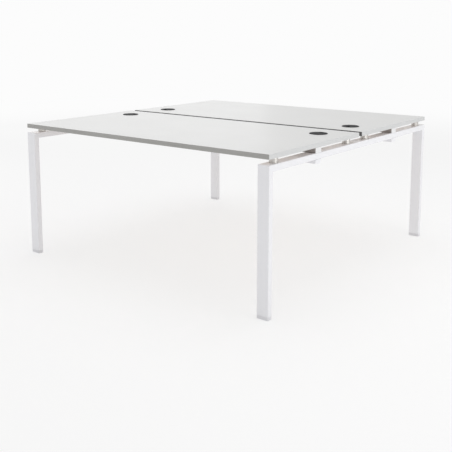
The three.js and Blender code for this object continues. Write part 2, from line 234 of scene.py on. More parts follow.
@dataclass(frozen=True)
class Rings:
    """Rows of points that a surface is stretched over.

    Attributes:
        points: m rings of n points, m x n x 3
        edge: wear of each point, m x n
    """

    points: Array
    edge: Array

    def skin(self, looped: bool = False) -> Skin:
        """Stretches quads between neighbouring rings.

        Quad (j, i) joins points i and i + 1 of ring j to those of ring j + 1. An open stack gets a
        flat face on its first and last ring; a looped one joins its last ring to its first.

        Args:
            looped: whether the rings close into a hoop

        Returns:
            The closed skin
        """
        rows, count = self.points.shape[:2]
        number = np.arange(rows * count).reshape(rows, count)
        beside = np.roll(number, -1, axis=1)
        last = rows if looped else rows - 1
        above = np.roll(number, -1, axis=0)
        above_beside = np.roll(beside, -1, axis=0)
        quads = np.stack([number, beside, above_beside, above], axis=-1)[:last].reshape(-1, 4)
        ends = [] if looped else [np.stack([number[0, ::-1], number[-1]])]
        return Skin(self.points.reshape(-1, 3), [quads, *ends], self.edge.reshape(-1))


def stacked(*layers: Rings) -> Rings:
    """Layers of rings with the same count of points as one stack."""
    points = np.concatenate([layer.points for layer in layers])
    return Rings(points, np.concatenate([layer.edge for layer in layers]))


def even_angles(count: int, start: float = 0.0) -> Array:
    """Angles spread evenly round a full turn."""
    return start + np.arange(count) * (FULL_TURN / count)


def directions(angles: Array) -> Array:
    """Unit plane directions at the angles."""
    return np.stack([np.cos(angles), np.sin(angles)], axis=-1)


def rectangle(width: float, depth: float) -> Array:
    """Corners of a rectangle about the origin, anticlockwise from right below."""
    return np.array([[1, -1], [1, 1], [-1, 1], [-1, -1]]) * (width / 2, depth / 2)


def rounded_path(
    corners: Array | list[tuple[float, float]],
    radii: float | list[float],
    closed: bool = True,
    steps: int = CORNER_STEPS,
) -> Path:
    """Rounds the corners of a plane path.

    A path that comes in along direction t and turns by angle a leaves its side r * tan(|a| / 2)
    before the corner. The arc's centre lies r to the inner side of that start, and its points stand
    r from the centre, square to t turned by s * a, for s from 0 to 1. A corner of radius 0 stays
    one sharp point.

    Args:
        corners: the path's corners, anticlockwise where it is closed
        radii: one radius for every corner, or one for each
        closed: whether the last corner joins the first; the ends of an open path stay sharp
        steps: facets of each rounded corner

    Returns:
        The rounded path
    """
    corners = np.asarray(corners, dtype=float)
    radius = np.broadcast_to(np.asarray(radii, dtype=float), len(corners)).copy()
    if not closed:
        radius[[0, -1]] = 0.0
    after = np.roll(corners, -1, axis=0) - corners
    after /= np.linalg.norm(after, axis=1, keepdims=True)
    before = np.roll(after, 1, axis=0)
    cross = before[:, 0] * after[:, 1] - before[:, 1] * after[:, 0]
    turn = np.arctan2(cross, (before * after).sum(axis=1))
    share = np.broadcast_to(np.linspace(0, 1, steps + 1), (len(corners), steps + 1))
    angle = np.arctan2(before[:, 1], before[:, 0])[:, None] + share * turn[:, None]
    normals = directions(angle - QUARTER_TURN)
    bend = (radius * np.sign(turn))[:, None]
    start = corners - before * (radius * np.tan(np.abs(turn) / 2))[:, None]
    centre = start - bend * directions(angle[:, 0] - QUARTER_TURN)
    points = centre[:, None] + bend[..., None] * normals
    edge = np.sin(math.pi * share) * (bend > 0)
    kept = (share == 0) | (radius > 0)[:, None]
    return Path(points[kept], normals[kept], edge[kept])


def spindle(count: int = ROUND_COUNT) -> Path:
    """A point with directions all round: a profile carried round it is turned about its axis."""
    return Path(np.zeros((count, 2)), directions(even_angles(count)), np.zeros(count))


def raised(plane: Array, height: Array) -> Array:
    """Rings of plane points, m x n x 2, at heights that spread over m x n."""
    lift = np.broadcast_to(height, plane.shape[:2])
    return np.concatenate([plane, lift[..., None]], axis=2)


def carried(profile: Path, outline: Path) -> Rings:
    """Carries a profile round an outline.

    The profile's first part is a distance out of the outline and its second a height, so point i of
    ring j is outline point i plus out j times outward direction i, lifted to height j.

    Args:
        profile: the section, as distances and heights
        outline: the closed curve that it follows

    Returns:
        One ring for each point of the profile
    """
    plane = outline.points + profile.points[:, :1, None] * outline.normals
    edge = np.maximum(profile.edge[:, None], outline.edge)
    return Rings(raised(plane, profile.points[:, 1:]), edge)


def level_rings(*rows: tuple[Array, float]) -> Rings:
    """Stacks level rings with no wear.

    Args:
        rows: plane points and height of each ring

    Returns:
        One ring for each row
    """
    plane = np.stack([points for points, _ in rows])
    height = np.array([[level] for _, level in rows])
    return Rings(raised(plane, height), np.zeros(plane.shape[:2]))


def circle(radius: float, count: int = ROUND_COUNT, start: float = 0.0) -> Array:
    """Points of a circle at even angles."""
    return radius * directions(even_angles(count, start))


def inner_circle(radius: float) -> Array:
    """Points of a circle that pair with a rounded rectangle's, from its lower right corner on."""
    count = 4 * (CORNER_STEPS + 1)
    return circle(radius, count, -QUARTER_TURN + math.pi / count)


def hexagon(across_flats: float) -> Array:
    """Spreads points round a hexagon.

    A point's distance is half the flats over the cosine of the angle to the nearest flat's middle.

    Args:
        across_flats: the hexagon's size

    Returns:
        Its points at even angles
    """
    angle = even_angles(ROUND_COUNT)
    off_middle = (angle + math.pi / 6) % (math.pi / 3) - math.pi / 6
    return (across_flats / 2 / np.cos(off_middle))[:, None] * directions(angle)


def tiers(half: Array, inset: Array, corner: float, height: Array) -> Array:
    """Rows for box_rings: half sizes drawn in by insets, with one corner radius, at the heights."""
    return np.column_stack([half - inset, np.full_like(height, corner), height])


def box_rings(rows: Array) -> Rings:
    """Stacks rounded rectangles.

    A corner's arc is centred one radius inside both sides, so a point is the corner's signs times
    the half size less the radius, plus the radius times the arc's direction. Signs and directions
    come from one rounded square.

    Args:
        rows: half width, half depth, corner radius and height of each rectangle, m x 4

    Returns:
        One ring for each row
    """
    square = rounded_path(rectangle(2, 2), 0.5)
    half, radius = rows[:, None, :2], rows[:, None, 2:3]
    plane = np.sign(square.points) * (half - radius) + radius * square.normals
    edge = np.broadcast_to(square.edge, plane.shape[:2])
    return Rings(raised(plane, rows[:, 3:]), edge)


def quarter_round(radius: float) -> tuple[Array, Array]:
    """Inset from the side and rise from the bottom along a rounded lower arris, bottom to side."""
    angle = np.linspace(0, QUARTER_TURN, RIM_STEPS + 1)
    return radius * (1 - np.sin(angle)), radius * (1 - np.cos(angle))


def thread(radius: float, pitch: float, low: float, high: float) -> Rings:
    """Cuts a screw thread into a rod.

    The radius at angle a and height h is the crest's, less the groove's depth times a wave of
    h / pitch - a / (2 pi) with straight flanks and flat crests. The groove fades over half a pitch
    at the ends.

    Args:
        radius: crest radius
        pitch: rise of one turn
        low: height of the first ring
        high: height of the last ring

    Returns:
        The rod's rings
    """
    depth = THREAD_DEPTH * pitch
    height = np.linspace(low, high, round((high - low) / pitch * THREAD_ROWS) + 1)[:, None]
    angle = even_angles(ROUND_COUNT)
    wave = np.abs(2 * ((height / pitch - angle / FULL_TURN) % 1.0) - 1)
    groove = np.clip(FLANK_SLOPE * wave - (FLANK_SLOPE - 1) / 2, 0, 1)
    fade = np.clip(np.minimum(height - low, high - height) / (pitch / 2), 0, 1)
    reach = radius - depth * groove * fade
    plane = reach[..., None] * directions(angle)
    return Rings(raised(plane, height), np.zeros(reach.shape))


@dataclass(frozen=True)
class SocketScrew:
    """Screw with a round head and a hexagon key socket, driven up from below.

    Attributes:
        shank: radius of the thread's crests
        pitch: rise of one turn of the thread
        threaded: share of the length that has the thread, from the tip
        head_height: height of the head
        flats: key size
        key_depth: depth of the socket
        seat_round: radius of the arris round the head's seat
        crown: radius of the head's other arris, in head heights
        mouth: radius of the socket's mouth, in key sizes
        lead_in: depth of the mouth's cone, in key sizes
        tip: radius of the tip, in shanks
        tip_cone: height of the tip's cone, in shanks
        neck: how far below the seat the head's profile begins, in shanks
    """

    shank: float
    pitch: float
    threaded: float
    head_height: float
    flats: float = 4 * MM
    key_depth: float = 2 * MM
    seat_round: float = 0.25 * MM
    crown: float = 0.45
    mouth: float = 0.62
    lead_in: float = 0.12
    tip: float = 0.7
    tip_cone: float = 0.3
    neck: float = 0.2

    def skin(self, box: Box) -> Skin:
        """Turns tip, thread, neck and head about the axis, then sinks a hexagon into the head.

        All this is done head up with the seat at height 0; the screw is then placed head down.

        Args:
            box: the CAD node's box, which gives the place, the length and the head's radius

        Returns:
            The screw's skin, in place
        """
        head, top = box.size[0] / 2, self.head_height
        length = box.size[2] - top
        crest = -length + self.tip_cone * self.shank
        corners = [
            (self.shank, -self.neck * self.shank),
            (self.shank, 0),
            (head, 0),
            (head, top),
            (self.mouth * self.flats, top),
        ]
        profile = rounded_path(corners, [0, 0, self.seat_round, self.crown * top, 0], closed=False)
        key = hexagon(self.flats)
        rings = stacked(
            level_rings((circle(self.tip * self.shank), -length)),
            thread(self.shank, self.pitch, crest, crest + self.threaded * length),
            carried(profile, spindle()),
            level_rings((key, top - self.lead_in * self.flats), (key, top - self.key_depth)),
        )
        return rings.skin().placed(box.base + (0, 0, top), Facing.DOWN)


class Wiring:
    """Shorthand for one node tree: adds nodes, fills their sockets and joins them."""

    def __init__(self, tree: bpy.types.NodeTree) -> None:
        """Starts from an empty tree."""
        self.tree = tree
        tree.nodes.clear()

    def add(self, kind: str, fill: Fill | None = None, **settings: Any) -> bpy.types.Node:
        """Adds a node.

        Args:
            kind: the node's type
            fill: for each input, a constant or the output socket that feeds it
            settings: the node's own properties

        Returns:
            The node
        """
        node = self.tree.nodes.new(kind)
        for key, value in settings.items():
            setattr(node, key, value)
        for socket, value in (fill or {}).items():
            if isinstance(value, Socket):
                self.tree.links.new(value, node.inputs[socket])
            else:
                node.inputs[socket].default_value = value
        return node

    def get(self, kind: str, fill: Fill | None = None, **settings: Any) -> Socket:
        """The first output of a new node."""
        return self.add(kind, fill, **settings).outputs[0]

    def math(self, operation: str, *values: Any) -> Socket:
        """The result of a Math node on constants or sockets."""
        return self.get("ShaderNodeMath", dict(enumerate(values)), operation=operation)

    def blend(self, factor: Any, first: Any, second: Any) -> Socket:
        """Two colours mixed by a factor."""
        fill = {0: factor, MIX_FIRST: first, MIX_SECOND: second}
        return self.add("ShaderNodeMix", fill, data_type="RGBA").outputs[MIX_RESULT]

    def mixed(self, factor: Socket, first: Socket, second: Socket) -> Socket:
        """Two shaders mixed by a factor."""
        return self.get("ShaderNodeMixShader", {0: factor, 1: first, 2: second})

    def span(self, value: Any, low: Any, high: Any, start: Any = 0.0, end: Any = 1.0) -> Socket:
        """A value stretched smoothly from low and high to start and end, and held there."""
        fill = {"Value": value, "From Min": low, "From Max": high, "To Min": start, "To Max": end}
        return self.get("ShaderNodeMapRange", fill, interpolation_type="SMOOTHSTEP")

    def place(self) -> Socket:
        """Object coordinates."""
        return self.add("ShaderNodeTexCoord").outputs["Object"]

    def parts(self, vector: Socket) -> Any:
        """The X, Y and Z parts of a vector."""
        return self.add("ShaderNodeSeparateXYZ", {0: vector}).outputs


def node_material(name: str) -> tuple[bpy.types.Material, Wiring]:
    """Makes a material from an empty node tree.

    Args:
        name: the material's name

    Returns:
        The material and the wiring of its tree
    """
    material = bpy.data.materials.new(name)
    material.use_nodes = True
    return material, Wiring(material.node_tree)


def linked(name: str, data: bpy.types.ID) -> bpy.types.Object:
    """Makes an object and links it to the scene.

    Args:
        name: the object's name
        data: its mesh, lamp or camera data

    Returns:
        The object
    """
    item = bpy.data.objects.new(name, data)
    bpy.context.scene.collection.objects.link(item)
    return item


def aimed(ahead: Vector) -> Euler:
    """The turn that points a lamp or camera ahead, level."""
    return ahead.to_track_quat("-Z", "Y").to_euler()


class Effect(Enum):
    """Shared surface effects: inputs with their socket kinds, and the output with its kind."""

    TONAL_DRIFT = (
        (("Place", "Vector"), ("Scale", "Float"), ("Tone A", "Color"), ("Tone B", "Color")),
        ("Colour", "Color"),
    )
    GLOSS_PATCHES = (
        (("Place", "Vector"), ("Scale", "Float"), ("Least", "Float"), ("Most", "Float")),
        ("Roughness", "Float"),
    )
    FINE_RELIEF = (
        (("Place", "Vector"), ("Scale", "Float"), ("Waviness", "Float")),
        ("Height", "Float"),
    )
    EDGE_WEAR = (
        (("Place", "Vector"), ("Edge", "Float"), ("Scale", "Float"), ("Amount", "Float")),
        ("Mask", "Float"),
    )
    LEVEL_LINES = (
        (("Height", "Float"), ("Scale", "Float"), ("Strength", "Float")),
        ("Value", "Float"),
    )

    def on(self, net: Wiring, fill: Fill) -> Socket:
        """The effect placed in a material's wiring with its own values."""
        return net.get("ShaderNodeGroup", fill, node_tree=self.tree())

    def tree(self) -> bpy.types.NodeTree:
        """Makes the effect's node group the first time it is asked for.

        Returns:
            The node group
        """
        name = self.name.lower()
        if name in bpy.data.node_groups:
            return bpy.data.node_groups[name]
        inputs, output = self.value
        tree = bpy.data.node_groups.new(name, "ShaderNodeTree")
        sockets = [("INPUT", *socket) for socket in inputs] + [("OUTPUT", *output)]
        for way, label, kind in sockets:
            tree.interface.new_socket(label, in_out=way, socket_type=f"NodeSocket{kind}")
        net = Wiring(tree)
        given = net.add("NodeGroupInput").outputs
        result = getattr(self, f"_{name}")(net, given)
        net.add("NodeGroupOutput", {output[0]: result})
        return tree

    @staticmethod
    def _noise(net: Wiring, place: Socket, scale: Socket, detail: float) -> Socket:
        """Soft noise around one half at a number of features to the metre."""
        fill = {"Vector": place, "Scale": scale, "Detail": detail}
        return net.get("ShaderNodeTexNoise", fill)

    def _tonal_drift(self, net: Wiring, given: Any) -> Socket:
        """Wanders slowly between two near tones, with a finer mottle on top.

        Args:
            net: the group's wiring
            given: the group's inputs

        Returns:
            The colour
        """
        broad = self._noise(net, given["Place"], given["Scale"], detail=2.0)
        finer = net.math("MULTIPLY", given["Scale"], MOTTLE_RATIO)
        fine = self._noise(net, given["Place"], finer, detail=3.0)
        slow, quick = (
            net.math("MULTIPLY", noise, share)
            for noise, share in ((broad, BROAD_SHARE), (fine, 1 - BROAD_SHARE))
        )
        share = net.span(net.math("ADD", slow, quick), *DRIFT_SPAN)
        return net.blend(share, given["Tone A"], given["Tone B"])

    def _gloss_patches(self, net: Wiring, given: Any) -> Socket:
        """Roughness that varies in soft patches between two limits."""
        patch = self._noise(net, given["Place"], given["Scale"], detail=4.0)
        return net.span(patch, *NOISE_SPAN, given["Least"], given["Most"])

    def _fine_relief(self, net: Wiring, given: Any) -> Socket:
        """Lays a fine grain on a broader wave.

        Args:
            net: the group's wiring
            given: the group's inputs

        Returns:
            The height
        """
        grain = self._noise(net, given["Place"], given["Scale"], detail=2.0)
        broader = net.math("MULTIPLY", given["Scale"], WAVE_RATIO)
        wave = self._noise(net, given["Place"], broader, detail=1.0)
        return net.math("ADD", grain, net.math("MULTIPLY", wave, given["Waviness"]))

    def _edge_wear(self, net: Wiring, given: Any) -> Socket:
        """Masks rounded arrises, broken up by noise.

        Args:
            net: the group's wiring
            given: the group's inputs

        Returns:
            The mask
        """
        noise = self._noise(net, given["Place"], given["Scale"], detail=5.0)
        near = net.span(given["Edge"], *ARRIS_SPAN)
        worn = net.math("MULTIPLY", near, net.span(noise, *WEAR_SPAN))
        return net.math("MULTIPLY", worn, given["Amount"])

    def _level_lines(self, net: Wiring, given: Any) -> Socket:
        """Draws uneven fine lines that run level: noise of the height alone.

        Args:
            net: the group's wiring
            given: the group's inputs

        Returns:
            The strength of the line at a height
        """
        along = net.get("ShaderNodeCombineXYZ", {"Z": given["Height"]})
        line = self._noise(net, along, given["Scale"], detail=2.0)
        return net.math("MULTIPLY", net.span(line, *NOISE_SPAN), given["Strength"])


@dataclass(frozen=True)
class Finish:
    """A surface finish worked from Object coordinates.

    Attributes:
        name: the material's name
        slot: name of the material's slot; not used
        tone_a: one of two near tones that the colour wanders between
        tone_b: the other tone
        worn: colour along worn arrises
        drift_scale: patches of tone to the metre
        gloss: least and most roughness
        gloss_scale: patches of gloss to the metre
        relief_scale: grains to the metre
        relief_depth: depth of the grain
        waviness: height of the broader waves, in grains
        wear: share of the worn colour at most
        wear_scale: patches of wear to the metre
        metallic: 1 for bare metal
        specular: level of the plain reflection
    """

    name: str
    slot: str
    tone_a: Colour
    tone_b: Colour
    worn: Colour = WHITE
    drift_scale: float = 3.0
    gloss: Span = (0.35, 0.5)
    gloss_scale: float = 9.0
    relief_scale: float = 600.0
    relief_depth: float = 0.02 * MM
    waviness: float = 0.3
    wear: float = 0.3
    wear_scale: float = 60.0
    metallic: float = 0.0
    specular: float = 0.5

    def material(self) -> bpy.types.Material:
        """Makes the finish's material the first time it is asked for.

        Returns:
            The material
        """
        if self.name in bpy.data.materials:
            return bpy.data.materials[self.name]
        material, net = node_material(self.name)
        place = net.place()
        bump = {"Distance": self.relief_depth, "Height": self.relief(net, place)}
        least, most = self.gloss
        patches = {"Place": place, "Scale": self.gloss_scale, "Least": least, "Most": most}
        surface = {
            "Base Color": self.colour(net, place),
            "Roughness": Effect.GLOSS_PATCHES.on(net, patches),
            "Metallic": self.metallic,
            "Specular IOR Level": self.specular,
            "Normal": net.get("ShaderNodeBump", bump),
        }
        shader = net.get("ShaderNodeBsdfPrincipled", surface)
        net.add("ShaderNodeOutputMaterial", {"Surface": shader})
        return material

    def drift(self, net: Wiring, place: Socket, tone_a: Colour, tone_b: Colour) -> Socket:
        """A colour that wanders between two tones."""
        fill = {"Place": place, "Scale": self.drift_scale, "Tone A": tone_a, "Tone B": tone_b}
        return Effect.TONAL_DRIFT.on(net, fill)

    def colour(self, net: Wiring, place: Socket) -> Socket:
        """The wandering tone, with the worn colour along arrises."""
        return self.with_wear(net, place, self.drift(net, place, self.tone_a, self.tone_b))

    def with_wear(self, net: Wiring, place: Socket, colour: Socket) -> Socket:
        """Mixes the worn colour in along the piece's own arrises.

        Args:
            net: the material's wiring
            place: Object coordinates
            colour: the colour of unworn places

        Returns:
            The colour with its wear
        """
        edge = net.add("ShaderNodeAttribute", attribute_name=EDGE_ATTRIBUTE).outputs["Fac"]
        fill = {"Place": place, "Edge": edge, "Scale": self.wear_scale, "Amount": self.wear}
        return net.blend(Effect.EDGE_WEAR.on(net, fill), colour, self.worn)

    def relief(self, net: Wiring, place: Socket) -> Socket:
        """Height of the finish's grain."""
        fill = {"Place": place, "Scale": self.relief_scale, "Waviness": self.waviness}
        return Effect.FINE_RELIEF.on(net, fill)


@dataclass(frozen=True)
class BoardFinish(Finish):
    """Faced chipboard: facing above, backing below, pressed chips in the cut faces between.

    Attributes:
        surface: height of the top's surface
        underside: height of its underside
        backing_a: one of the backing sheet's two tones
        backing_b: the other
        chip_pale: palest chips of the core
        chip_dark: darkest chips of the core
        chip_scale: chips to the metre
        sheet: thickness of facing and backing
    """

    surface: float = 0.0
    underside: float = 0.0
    backing_a: Colour = tone(251, 241, 233)
    backing_b: Colour = tone(249, 238, 229)
    chip_pale: Colour = tone(206, 178, 138)
    chip_dark: Colour = tone(140, 104, 68)
    chip_scale: float = 420.0
    sheet: float = 0.4 * MM

    def colour(self, net: Wiring, place: Socket) -> Socket:
        """Chooses facing, backing or chips by the height on the board.

        Args:
            net: the material's wiring
            place: Object coordinates

        Returns:
            The colour
        """
        height = net.parts(place)["Z"]
        cells = net.add("ShaderNodeTexVoronoi", {"Vector": place, "Scale": self.chip_scale})
        shade = net.parts(cells.outputs["Color"])["X"]
        core = net.blend(shade, self.chip_dark, self.chip_pale)
        facing = self.drift(net, place, self.tone_a, self.tone_b)
        backing = self.drift(net, place, self.backing_a, self.backing_b)
        below = net.math("LESS_THAN", height, self.underside + self.sheet)
        above = net.math("GREATER_THAN", height, self.surface - self.sheet)
        return net.blend(above, net.blend(below, core, backing), facing)


@dataclass(frozen=True)
class EdgingFinish(Finish):
    """Edging with fine level lines, painted shade on the long sides and gap strips, painted light on
    the ends.

    Attributes:
        end_a: one of the two tones of the strips on the short ends
        end_b: the other
        end_from: distance from the middle at which those strips begin
        line_tone: tone of the lines on the long sides
        line_scale: lines to the metre
        line_strength: share of the lines' tone at most
        gap_shade_tone: tone of the strips along the gap between the tops
        gap_shade_line: tone of the lines on those strips
        gap_shade_to: distance from the middle at which those strips end
    """

    end_a: Colour = tone(212, 213, 213)
    end_b: Colour = tone(209, 210, 210)
    end_from: float = 0.0
    line_tone: Colour = tone(156, 155, 152)
    line_scale: float = 520.0
    line_strength: float = 0.75
    gap_shade_tone: Colour = tone(104, 104, 104)
    gap_shade_line: Colour = tone(96, 96, 96)
    gap_shade_to: float = 0.0

    def colour(self, net: Wiring, place: Socket) -> Socket:
        """Gives long sides, gap sides and ends their tones and lines, worn along arrises; the tones
        paint shade on the long and gap sides and light on the ends.

        Args:
            net: the material's wiring
            place: Object coordinates

        Returns:
            The colour
        """
        parts = net.parts(place)
        drawn = {"Height": parts["Z"], "Scale": self.line_scale, "Strength": self.line_strength}
        lines = Effect.LEVEL_LINES.on(net, drawn)
        side = net.blend(lines, self.drift(net, place, self.tone_a, self.tone_b), self.line_tone)
        end = self.drift(net, place, self.end_a, self.end_b)
        # The short ends take a pale tone of painted light from the right; the long sides keep a mid
        # tone of painted shade.
        in_lit_end = net.math("GREATER_THAN", net.math("ABSOLUTE", parts["X"]), self.end_from)
        # Strips along the gap between the tops take a dark tone of painted shade.
        in_gap_shade = net.math("LESS_THAN", net.math("ABSOLUTE", parts["Y"]), self.gap_shade_to)
        long = net.blend(in_gap_shade, side, net.blend(lines, self.gap_shade_tone, self.gap_shade_line))
        return self.with_wear(net, place, net.blend(in_lit_end, long, end))


@dataclass(frozen=True)
class FramePaint(Finish):
    """Powder coat over the welded frames, with a dressed weld line across each mitre.

    Attributes:
        mitre: how far the mitre line's distance from the middle exceeds its height
        weld_from: height at which the mitre begins
        weld_width: half width of the line
        weld_depth: depth of the line, in grains
    """

    mitre: float = 0.0
    weld_from: float = 0.0
    weld_width: float = 0.7 * MM
    weld_depth: float = 3.0

    def relief(self, net: Wiring, place: Socket) -> Socket:
        """Cuts the weld into the orange peel, as a fine groove where the mitre plane lies.

        Args:
            net: the material's wiring
            place: Object coordinates

        Returns:
            The height
        """
        peel = Finish.relief(self, net, place)
        parts = net.parts(place)
        lead = net.math("SUBTRACT", net.math("ABSOLUTE", parts["Y"]), parts["Z"])
        apart = net.math("ABSOLUTE", net.math("SUBTRACT", lead, self.mitre))
        groove = net.span(apart, 0.0, self.weld_width, self.weld_depth, 0.0)
        near = net.math("GREATER_THAN", parts["Z"], self.weld_from)
        return net.math("SUBTRACT", peel, net.math("MULTIPLY", groove, near))


@dataclass(frozen=True)
class TurnedFinish(Finish):
    """Satin metal from the lathe, with fine level tool marks.

    Attributes:
        mark_scale: tool marks to the metre
    """

    mark_scale: float = 2600.0

    def relief(self, net: Wiring, place: Socket) -> Socket:
        """Height of the tool marks, lines of the piece's height alone."""
        fill = {"Height": net.parts(place)["Z"], "Scale": self.mark_scale, "Strength": 1.0}
        return Effect.LEVEL_LINES.on(net, fill)


TOP, REAR_TOP = Box.of("desktop_front"), Box.of("desktop_rear")
BAR, LEG = Box.of("left_crossbar"), Box.of("left_rear_leg")

BOARD = BoardFinish(
    "light_grey_facing",
    "light_grey_board",
    tone(217, 217, 216),
    tone(216, 216, 215),
    drift_scale=1.6,
    gloss=(0.28, 0.31),
    gloss_scale=5.0,
    relief_scale=900.0,
    relief_depth=0.004 * MM,
    surface=float(TOP.high[2]),
    underside=float(TOP.low[2]),
)
# Edging tones: the mid long sides and the dark gap strips are painted shade, the pale ends painted
# light.
EDGING = EdgingFinish(
    "two_tone_edging",
    "grey_edging",
    tone(174, 173, 170),
    tone(169, 168, 165),
    tone(190, 190, 192),
    gloss=(0.38, 0.5),
    relief_scale=800.0,
    relief_depth=0.015 * MM,
    wear=0.35,
    end_from=float(TOP.high[0]),
    gap_shade_to=float(REAR_TOP.low[1]),
)
WHITE_COAT: dict[str, Any] = {
    "slot": "white_steel",
    "tone_a": tone(241, 241, 244),
    "tone_b": tone(239, 239, 242),
    "worn": tone(214, 214, 219),
    "gloss": (0.17, 0.23),
    "relief_scale": 420.0,
    "wear": 0.4,
}
PAINT = Finish("white_powder_coat", **WHITE_COAT)
FRAME_PAINT = FramePaint(
    "white_powder_coat_frames",
    **WHITE_COAT,
    mitre=float(LEG.middle[1] - BAR.middle[2]),
    weld_from=float(BAR.low[2]),
)
# The beam's dark grey is partly its own steel colour and partly painted shade for its sides in the
# slot under the tops; its warm tint is a painted reflection of the tops' warm underside.
SHADED_BEAM_STEEL = Finish(
    "grey_beam_steel",
    "grey_steel",
    tone(160, 153, 149),
    tone(153, 146, 142),
    tone(128, 122, 118),
    gloss=(0.4, 0.5),
    relief_scale=500.0,
    wear=0.4,
)
WHITE_PLASTIC = Finish(
    "white_moulded_plastic",
    "white_plastic",
    tone(238, 238, 239),
    tone(234, 234, 235),
    tone(222, 222, 222),
    gloss=(0.4, 0.52),
    relief_scale=1500.0,
)
SPACER_METAL = TurnedFinish(
    "satin_turned_spacer",
    "satin_spacer",
    tone(207, 204, 200),
    tone(200, 197, 193),
    tone(223, 221, 218),
    drift_scale=40.0,
    gloss=(0.32, 0.38),
    gloss_scale=60.0,
    relief_depth=0.01 * MM,
    metallic=1.0,
)
ZINC = Finish(
    "bright_zinc_plating",
    "zinc_fastener",
    tone(204, 206, 210),
    tone(190, 193, 199),
    tone(222, 223, 225),
    drift_scale=120.0,
    gloss=(0.22, 0.36),
    gloss_scale=150.0,
    relief_scale=2400.0,
    relief_depth=0.006 * MM,
    metallic=1.0,
)
FOOT_PLASTIC = Finish(
    "grey_foot_plastic",
    "grey_plastic",
    tone(226, 226, 229),
    tone(221, 221, 224),
    tone(200, 200, 203),
    drift_scale=25.0,
    gloss=(0.42, 0.56),
    relief_scale=1600.0,
    wear=0.6,
)
BLACK_PLASTIC = Finish(
    "black_grommet_plastic",
    "black_plastic",
    tone(30, 30, 32),
    tone(26, 26, 28),
    tone(52, 52, 54),
    drift_scale=30.0,
    gloss=(0.6, 0.7),
    gloss_scale=40.0,
    relief_scale=2200.0,
    relief_depth=0.03 * MM,
    wear=0.5,
    specular=0.3,
)


@dataclass(frozen=True)
class Piece:
    """One finished piece.

    Attributes:
        name: its object's name
        skin: its surface, in place
        finish: how it is dressed
        nodes: the CAD nodes that it stands for
        body: the CAD body that it rides on
    """

    name: str
    skin: Skin
    finish: Finish
    nodes: tuple[str, ...]
    body: str = DESK_BODY

    def issue(self) -> bpy.types.Object:
        """Makes the object, dresses it and ties it to the frame.

        Returns:
            The piece's object, at the origin with its place in its mesh
        """
        mesh = bpy.data.meshes.new(self.name)
        faces = sum((block.tolist() for block in self.skin.faces), [])
        mesh.from_pydata(self.skin.points.tolist(), [], faces)
        mesh.shade_smooth()
        mesh.set_sharp_from_angle(angle=SHARP_ANGLE)
        edge = mesh.attributes.new(EDGE_ATTRIBUTE, "FLOAT", "POINT")
        edge.data.foreach_set("value", self.skin.edge.astype(np.float32))
        mesh.materials.append(self.finish.material())
        piece = linked(self.name, mesh)
        weighted = piece.modifiers.new("even_flats", "WEIGHTED_NORMAL")
        weighted.keep_sharp = True
        weighted.weight = FLATS_WEIGHT
        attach(piece, self.body)
        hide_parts(*self.nodes)
        LOG.info("%s: %d faces on %s", self.name, len(faces), self.body)
        return piece


class SubAssembly(ABC):
    """A part of the desk that is built and dressed as one."""

    @property
    def tag(self) -> str:
        """The part's place as it stands in names: the names of its options in order."""
        options = [value for value in vars(self).values() if isinstance(value, Enum)]
        return "_".join(option.name.lower() for option in options)

    def box(self, kind: str) -> Box:
        """The box of this part's CAD node of one kind."""
        return Box.of(f"{kind}_{self.tag}")

    def piece(self, name: str, skin: Skin, finish: Finish, kind: str, rider: str = "") -> Piece:
        """Names a piece for this part's place.

        Args:
            name: what the piece is
            skin: its surface, in place
            finish: how it is dressed
            kind: kind of the CAD node that it stands for
            rider: kind of the moving body that it rides on, or nothing for the desk itself

        Returns:
            The piece
        """
        tag = self.tag
        body = f"{rider}_{tag}" if rider else DESK_BODY
        return Piece(f"{name}_{tag}", skin, finish, (f"{kind}_{tag}",), body)

    @abstractmethod
    def pieces(self) -> Iterator[Piece]:
        """The sub-assembly's finished pieces."""


@dataclass(frozen=True)
class Worktop(SubAssembly):
    """One top: its faced board keeps the CAD shape, its edging gets soft arrises.

    Attributes:
        row: the seat that it serves
        band: thickness of the edging
        corner: radius of its corners in plan
        arris: radius of its upper and lower arrises
    """

    row: Row
    band: float = 2 * MM
    corner: float = 3 * MM
    arris: float = 1 * MM

    def dress_board(self) -> None:
        """Gives the CAD board its zoned finish."""
        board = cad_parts[f"desktop_{self.tag}"]
        board.material_slots[0].material = BOARD.material()
        LOG.info("%s: dressed", board.name)

    def edging(self) -> Skin:
        """Carries the band's section, a strip with two rounded arrises, round the top's outline.

        Returns:
            The edging's skin
        """
        box = self.box("edge_band")
        low, high = box.low[2], box.high[2]
        corners = [(-self.band, low), (0, low), (0, high), (-self.band, high)]
        section = rounded_path(corners, [0, self.arris, self.arris, 0], steps=RIM_STEPS)
        outline = rounded_path(rectangle(*box.size[:2]), self.corner)
        return carried(section, outline).skin(looped=True).placed(box.axis)

    def pieces(self) -> Iterator[Piece]:
        """The edging; the board is dressed where it lies."""
        self.dress_board()
        yield self.piece("edging", self.edging(), EDGING, "edge_band")


